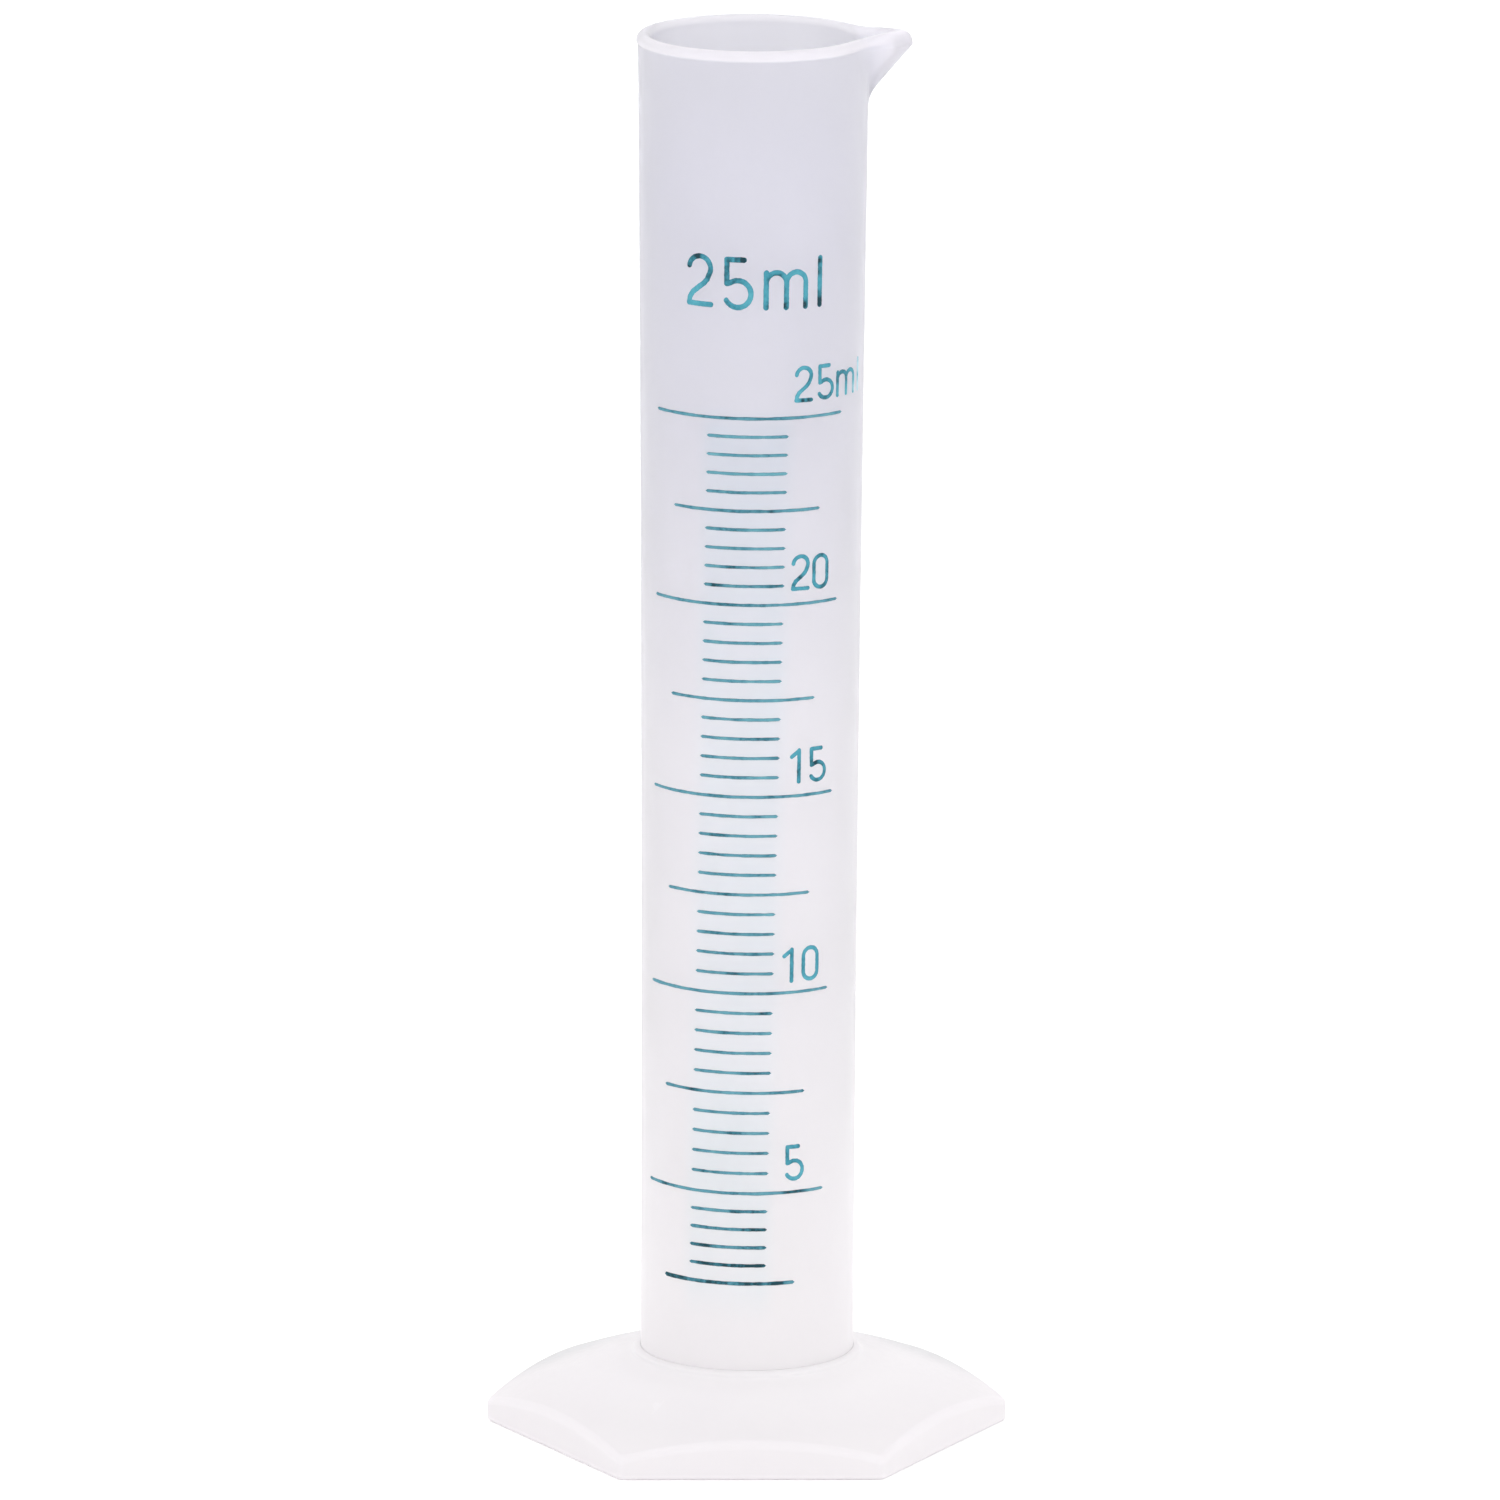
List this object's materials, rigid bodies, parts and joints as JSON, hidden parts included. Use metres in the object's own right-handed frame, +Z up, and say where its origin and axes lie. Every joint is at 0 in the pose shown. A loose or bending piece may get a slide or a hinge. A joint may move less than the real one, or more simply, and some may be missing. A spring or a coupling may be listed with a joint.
{
  "type": "graduated measuring cylinder",
  "caption": "Small translucent plastic measuring cylinder with a pouring spout, a printed volume scale and a push-on hollow hexagonal foot.",
  "frame": {"origin": "on the tube's axis, in the plane of the foot's resting face", "axes": "+Z up along the tube's axis, the printed scale faces -Y and the spout points along +X"},
  "size_m": [0.0506, 0.044, 0.1375],
  "materials": {
    "tube_plastic": "smooth natural polypropylene, clear to milky",
    "foot_plastic": "smooth natural polypropylene, milky",
    "scale_ink": "thin matt printing ink"
  },
  "bodies": {
    "foot": {"hex_foot": "foot_plastic"},
    "tube": {"measuring_tube": "tube_plastic", "scale_lines_5ml": "scale_ink", "scale_lines_2_5ml": "scale_ink", "scale_lines_0_5ml": "scale_ink", "scale_numerals": "scale_ink", "capacity_mark": "scale_ink"}
  },
  "joints": [
    {"name": "tube_lift", "type": "slide", "parent": "foot", "child": "tube", "axis": [0, 0, 1], "range_m": [0, 0.012]}
  ]
}
